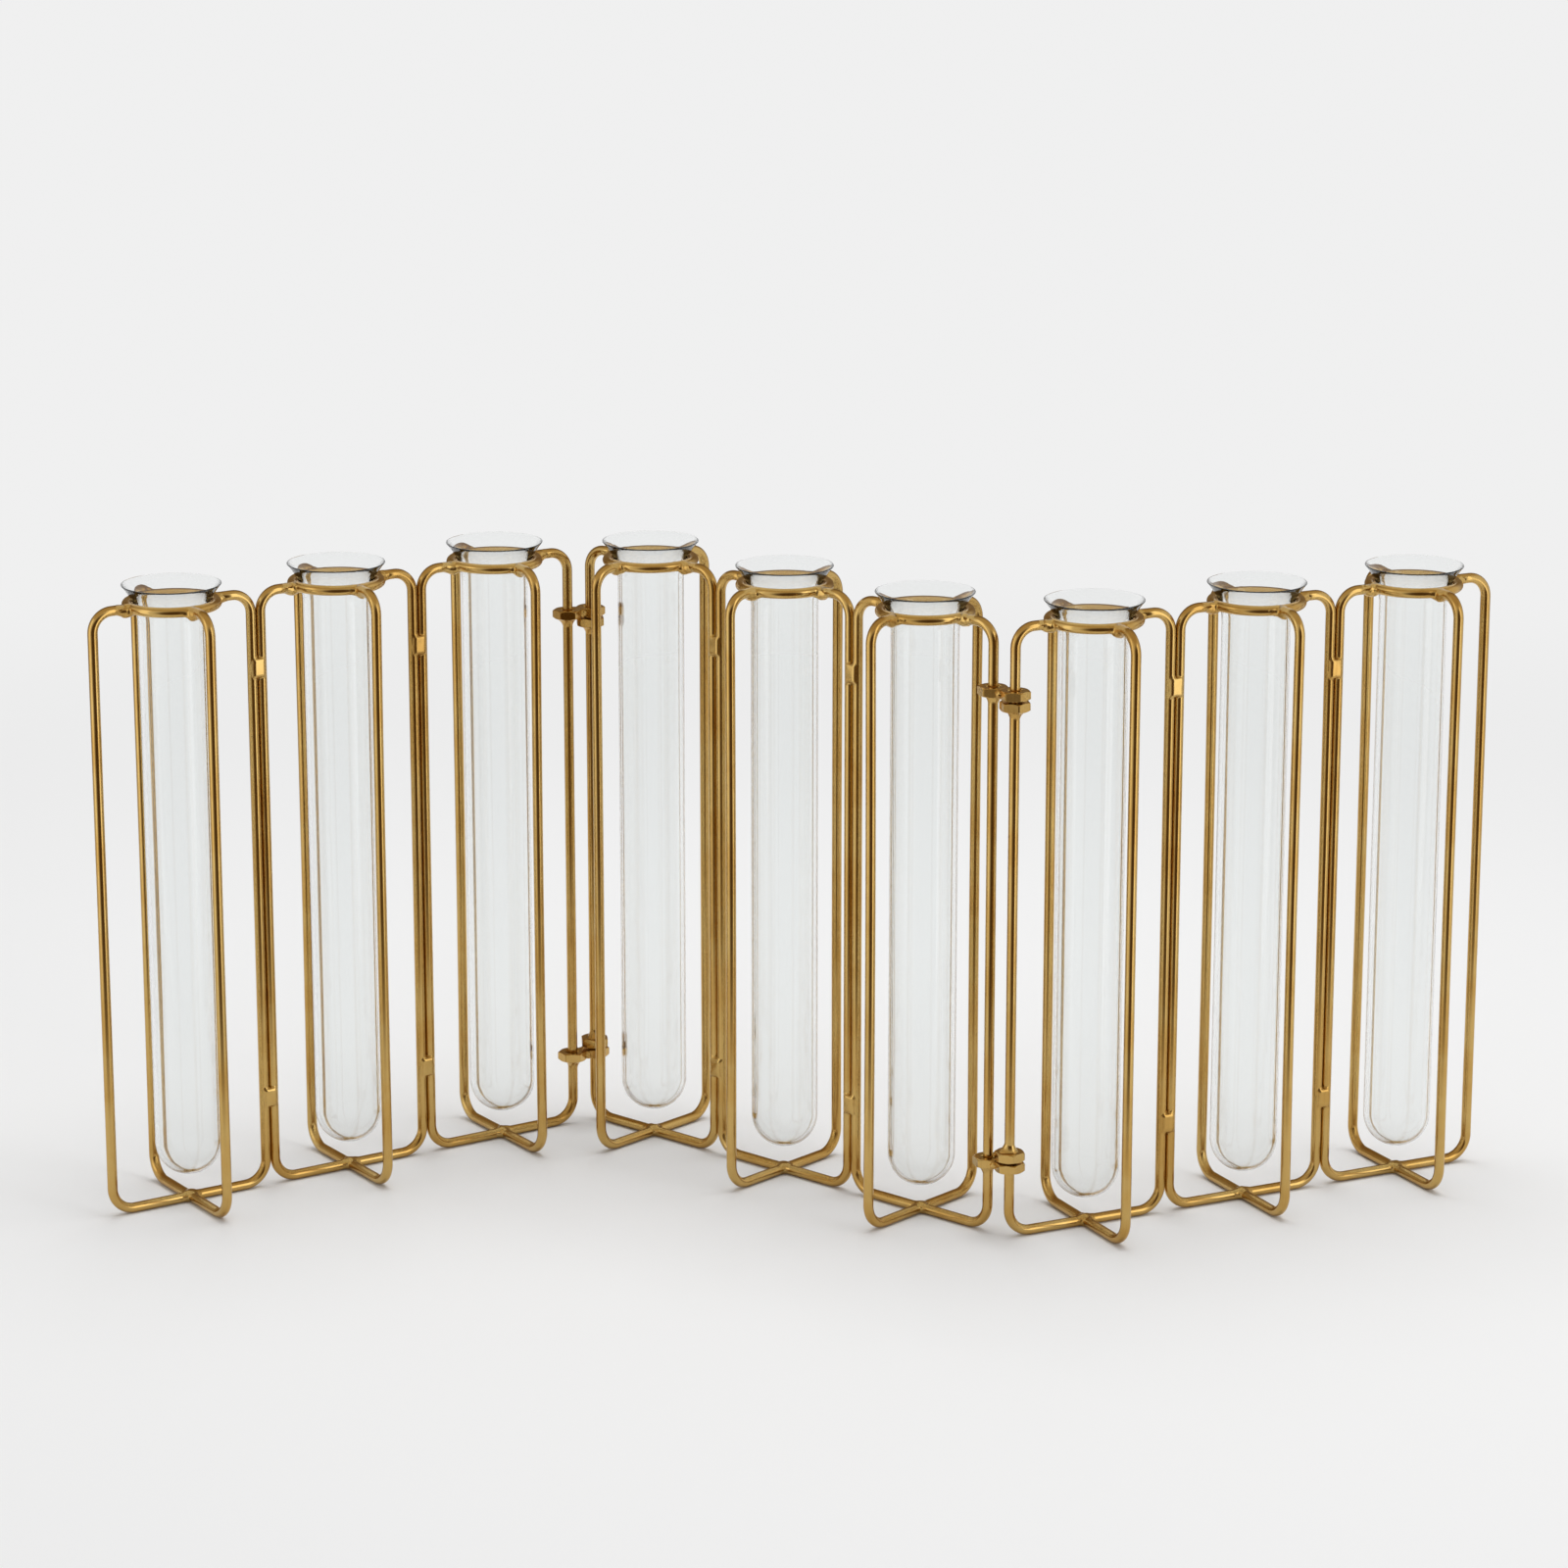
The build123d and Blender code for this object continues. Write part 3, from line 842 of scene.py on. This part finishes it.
# %% [markdown]
# ## Weld beads
#
# A weld is not a ball: it is metal that flowed into the corner between two wires. The trick here is to
# describe the wires and a blob by their distance functions, join them with a rounded minimum, and look
# out from the joint in every direction until the joined shape ends. The result meets each wire in a
# fillet and hides inside it further along.

# %% Distance functions
BEAD_ROWS = 30
BEAD_COLUMNS = 44
BEAD_POLE = 0.02  # radians left open at the top and bottom, closed by fans
MARCH = 56  # places tried along each direction
SINK = 0.04 * MM  # how deep a bead's skin lies inside a bare wire
WAVES = 3  # sine waves in the lumps
WAVE_TURN = 2.1  # radians from one wave's direction to the next
WAVE_SHIFT = 1.7  # radians from one wave's start to the next
PHASES = (0, 6)  # least and greatest phase of a bead, in radians
SLANT_PHASE, START_PHASE = 3, 5  # the phase is multiplied to give unlike angles


def next_phase():
    """The random phase of the next bead."""
    return rng.uniform(*PHASES)


def rod(points, start, way):
    """Distance from an endless wire through a point."""
    gap = points - start
    return np.linalg.norm(gap - (gap @ way)[..., None] * way, axis=-1) - (wire_radius - SINK)


def hoop(points, centre):
    """Distance from a ring of wire about an upright axis."""
    gap = points - centre
    outward = np.linalg.norm(gap[..., :2], axis=-1) - ring_radius
    return np.hypot(outward, gap[..., 2]) - (wire_radius - SINK)


def blob(points, centre, radii, axes):
    """Rough distance from an egg with the given radii along three axes."""
    local = (points - centre) @ np.array(axes).T / radii
    length = np.linalg.norm(local, axis=-1)
    return (length - 1) * min(radii)


def lumps(points, phase, height, spacing):
    """Soft lumps: the mean of sine waves in slanted directions, times the height."""
    total = 0.0
    for number in range(WAVES):
        turn = WAVE_TURN * number + phase
        way = np.array([np.cos(turn), np.sin(turn), np.cos(phase * SLANT_PHASE + number)])
        start = phase * START_PHASE + number * WAVE_SHIFT
        total = total + np.sin(points @ way * 2 * np.pi / spacing + start)
    return height * total / WAVES


def bead(heart, shape, reach):
    """The surface seen from the heart: in each direction, the first place where the shape's distance turns
    positive, but no further than the reach."""
    polar = np.linspace(BEAD_POLE, np.pi - BEAD_POLE, BEAD_ROWS)[::-1, None]
    ways = about_axis(np.sin(polar), np.cos(polar), once_around(BEAD_COLUMNS))
    steps = np.linspace(0, reach, MARCH)
    depth = shape(heart + ways[:, :, None] * steps[None, None, :, None])
    outside = depth > 0
    ends = outside.any(axis=2)
    first = np.where(ends, outside.argmax(axis=2), MARCH - 1)
    before = np.maximum(first - 1, 0)
    inner = np.take_along_axis(depth, before[..., None], axis=2)[..., 0]
    outer = np.take_along_axis(depth, first[..., None], axis=2)[..., 0]
    share = np.clip(-inner / np.where(outer == inner, 1.0, outer - inner), 0, 1)
    length = np.where(ends, steps[before] + share * (steps[first] - steps[before]), reach)
    return grid_piece(heart + ways * length[..., None])


print("a bead has", BEAD_ROWS * BEAD_COLUMNS, "points")

# %% [markdown]
# ## Beads on the rings
#
# Where an arm meets its ring, the metal droops below the wires and to one side. The blob hangs as far
# to the left or right as a random phase says, and the bead is cut off where the glass tube passes.

# %% Ring beads
MELT = 1.3 * MM  # width over which a bead runs into the wires
TUBE_CLEAR = 0.45 * MM  # between a bead and the tube
RING_JOINT = np.array([0.9, -0.5]) * MM  # where a ring bead is seen from: outward and up from the ring
RING_BLOB = np.array([1.5, -0.9]) * MM  # the middle of its blob, measured the same way
RING_SAG = 0.5 * MM  # how far the blob hangs to one side
SAG_PHASE = 7
RING_RADII = np.array([2.1, 1.75, 1.65]) * MM  # outward, around and up
RING_LUMP = (0.13 * MM, 2.6 * MM)  # height and spacing of the lumps
RING_BEAD_END = 4.6 * MM  # furthest reach of the bead


def ring_bead(cell, spoke, phase):
    """Metal where an arm meets the ring: arm, ring and a drooping blob, kept off the tube."""
    centre = centre_of[cell] + up * arm_height
    joint = centre + spoke * (ring_radius + RING_JOINT[0]) + up * RING_JOINT[1]
    flank = np.cross(up, spoke)
    sag = flank * RING_SAG * np.sin(phase * SAG_PHASE)
    blob_at = centre + spoke * (ring_radius + RING_BLOB[0]) + up * RING_BLOB[1] + sag

    def shape(points):
        ring = hoop(points, centre)
        ahead = (points - centre) @ spoke
        wires = np.where(ahead < ring_radius, ring, np.minimum(rod(points, centre, spoke), ring))
        body = soft_least(wires, blob(points, blob_at, RING_RADII, (spoke, flank, up)), MELT)
        body = body - lumps(points, phase, *RING_LUMP)
        off_axis = np.linalg.norm((points - centre)[..., :2], axis=-1)
        return np.maximum(body, TUBE_RADIUS + TUBE_CLEAR - off_axis)

    return bead(joint, shape, RING_BEAD_END)


# %% [markdown]
# ## Beads at the base
#
# Under each tube the side wires meet the cross wire on the floor. Metal fills the four corners of that
# crossing, swells a little above the wires, and is flat underneath, where it stands.

# %% Base beads
BASE_RADII = np.array([2.3, 1.9, 1.75]) * MM  # along the row, across it and up
BASE_RISE = 0.15 * MM  # from the wires' middle up to the blob's
BASE_LUMP = (0.12 * MM, 2.4 * MM)
BASE_BEAD_END = 4.4 * MM


def base_bead(cell, phase):
    """Metal in the four corners of the base crossing, flat on the floor."""
    heart = centre_of[cell] + up * wire_radius
    row, cross = row_of[cell], cross_of[cell]

    def shape(points):
        wires = np.minimum(rod(points, heart, row), rod(points, heart, cross))
        metal = blob(points, heart + up * BASE_RISE, BASE_RADII, (row, cross, up))
        body = soft_least(wires, metal, MELT) - lumps(points, phase, *BASE_LUMP)
        return np.maximum(body, SINK - points[..., 2])

    return bead(heart, shape, BASE_BEAD_END)


# %% [markdown]
# ## Tacks
#
# Two neighbouring cells stand leg to leg, and two tacks hold them together. A tack is a short upright
# plate of metal over the groove, smoother than the other beads, so its blob is a block with round edges.

# %% Tacks
TACK_FORWARD = 1.05 * MM  # from the legs' plane to the middle of a tack
TACK_HALVES = np.array([2.1, 0.95, 2.9]) * MM  # along the row, across it and up
TACK_EDGE = 0.8 * MM  # radius of its edges
TACK_MELT = 0.6 * MM
TACK_LUMP = (0.05 * MM, 4.5 * MM)
TACK_END = 4.4 * MM


def plate(points, centre, axes):
    """Distance from a block with round edges: how far a point lies past the block's inner half sizes, less
    the radius of the edges."""
    local = np.abs((points - centre) @ np.array(axes).T)
    return np.linalg.norm(np.maximum(local - (TACK_HALVES - TACK_EDGE), 0), axis=-1) - TACK_EDGE


def tack_bead(cell, spot, phase):
    """A short upright plate of metal over the groove between two legs, on the front side."""
    row, cross = row_of[cell], cross_of[cell]
    half_gap = np.linalg.norm(spot[:2] - centre_of[cell][:2]) - row_reach
    heart = spot - cross * TACK_FORWARD

    def shape(points):
        legs = np.minimum(rod(points, spot + row * half_gap, up), rod(points, spot - row * half_gap, up))
        body = soft_least(legs, plate(points, heart, (row, cross, up)), TACK_MELT)
        return body - lumps(points, phase, *TACK_LUMP)

    return bead(heart, shape, TACK_END)


# %% [markdown]
# ## Beads of the hinges
#
# A welded nut has a skirt of metal between its face and the leg, which is easiest as a radius that falls
# off along the leg. The seam between the two nuts of a link is closed on both sides by a small ribbed
# bead, as a row of quick dabs leaves it.

# %% Hinge beads
FILLET_ROWS = 18
FILLET_WIDTH = 1.5 * MM
FILLET_HEIGHT = 3.0 * MM
FILLET_POWER = 2.2  # how quickly the skirt narrows
FILLET_LEAN = 0.35  # how much wider one side is
FILLET_LUMP = 0.15  # height of its lumps, as a share of the width
FILLET_LOBES = 3  # lumps around the leg
LOBE_PHASE = 4
FILLET_UNEVEN = 0.25  # how much the width changes the height
SEAM_INSET = 0.1 * MM  # from a nut's faces to the ends of its seam bead
SEAM_RADII = np.array([1.25 * MM, 1.0 * MM, NUT_HEIGHT / 2 - SEAM_INSET])  # along, across and up
SEAM_RIB = 0.07 * MM
SEAM_RIB_STEP = 1.1 * MM
SEAM_SLANT = 0.5
SEAM_LUMP = (0.08 * MM, 1.8 * MM)
SEAM_END = 3.0 * MM


def nut_fillet(leg, face, away, phase):
    """Metal between a leg and a nut's face: the radius falls from wide to the leg's as a power of the way
    along, and swells and shrinks around the leg."""
    angle = once_around(BEAD_COLUMNS)
    share = np.linspace(0, 1, FILLET_ROWS)[:, None]
    lobes = np.sin(FILLET_LOBES * angle + phase * LOBE_PHASE)
    swell = 1 + FILLET_LEAN * np.sin(angle + phase) + FILLET_LUMP * lobes
    radius = wire_radius - SINK + FILLET_WIDTH * swell * (1 - share) ** FILLET_POWER
    height = face + away * FILLET_HEIGHT * share * (1 - FILLET_UNEVEN + FILLET_UNEVEN * swell)
    points = about_axis(radius, height, angle)
    if away < 0:
        points = points[::-1]
    return grid_piece(leg + points)


def seam_bead(spot, row, cross, phase):
    """A ribbed bead that closes the seam between two nuts: an egg with ripples up its height."""

    def shape(points):
        body = blob(points, spot, SEAM_RADII, (row, cross, up))
        ribs = np.sin((points - spot) @ (up + SEAM_SLANT * row) * 2 * np.pi / SEAM_RIB_STEP + phase)
        return body - SEAM_RIB * ribs - lumps(points, phase, *SEAM_LUMP)

    return bead(spot, shape, SEAM_END)


def link_beads(hinge, level):
    """The beads of a link: a skirt under its anchor nut, and two that close the seam to its pivot nut."""
    joint, cell, _ = HINGES[hinge]
    link = middle_of(f"hinge_{hinge}_{level}_anchor_nut")[2]
    beads = [nut_fillet(anchor_of[hinge], link - NUT_HEIGHT / 2, -1, next_phase())]
    seam = (pin_of[joint] + anchor_of[hinge]) / 2 + up * link
    for side in (1, -1):
        edge = side * cross_of[cell] * NUT_CORNER / 2
        beads.append(seam_bead(seam + edge, row_of[cell], cross_of[cell], next_phase()))
    return beads


def stop_bead(hinge, level):
    """The skirt of a stop nut, on the side away from the link."""
    joint, _, _ = HINGES[hinge]
    away = -1 if level == "upper" else 1
    face = middle_of(f"hinge_{hinge}_{level}_stop_nut")[2] + away * NUT_HEIGHT / 2
    return nut_fillet(pin_of[joint], face, away, next_phase())


# %% [markdown]
# ## Welds of the sections
#
# All beads of a section are one piece, because they are fused with it and move with it. No two look the
# same: each takes the next random phase, and a fixed seed gives the same phases on every run.

# %% Welds of the three sections
WELD_HEAT = 0.25
for section, cells in SECTIONS.items():
    pieces = []
    for cell in cells:
        row, cross = row_of[cell], cross_of[cell]
        pieces += [ring_bead(cell, spoke, next_phase()) for spoke in (row, -row, cross, -cross)]
        pieces.append(base_bead(cell, next_phase()))
    for cell in cells[:-1]:
        groove = groove_between(cell, cell + 1)
        for height in (UPPER_TACK, LOWER_TACK):
            pieces.append(tack_bead(cell, groove + up * height, next_phase()))
    for hinge, (_, link_cell, pin_cell) in HINGES.items():
        for level in LEVELS:
            if link_cell in cells:
                pieces += link_beads(hinge, level)
            if pin_cell in cells:
                pieces.append(stop_bead(hinge, level))
    points = np.concatenate([piece[0] for piece in pieces])
    attributes = {"grain": points, "heat": np.full(len(points), WELD_HEAT)}
    welds = mesh_object(f"brass_welds_{section}", pieces, attributes)
    dress(welds, f"welds_{section}", weld_brass)
    print(welds.name, "beads", len(pieces), "points", len(points))
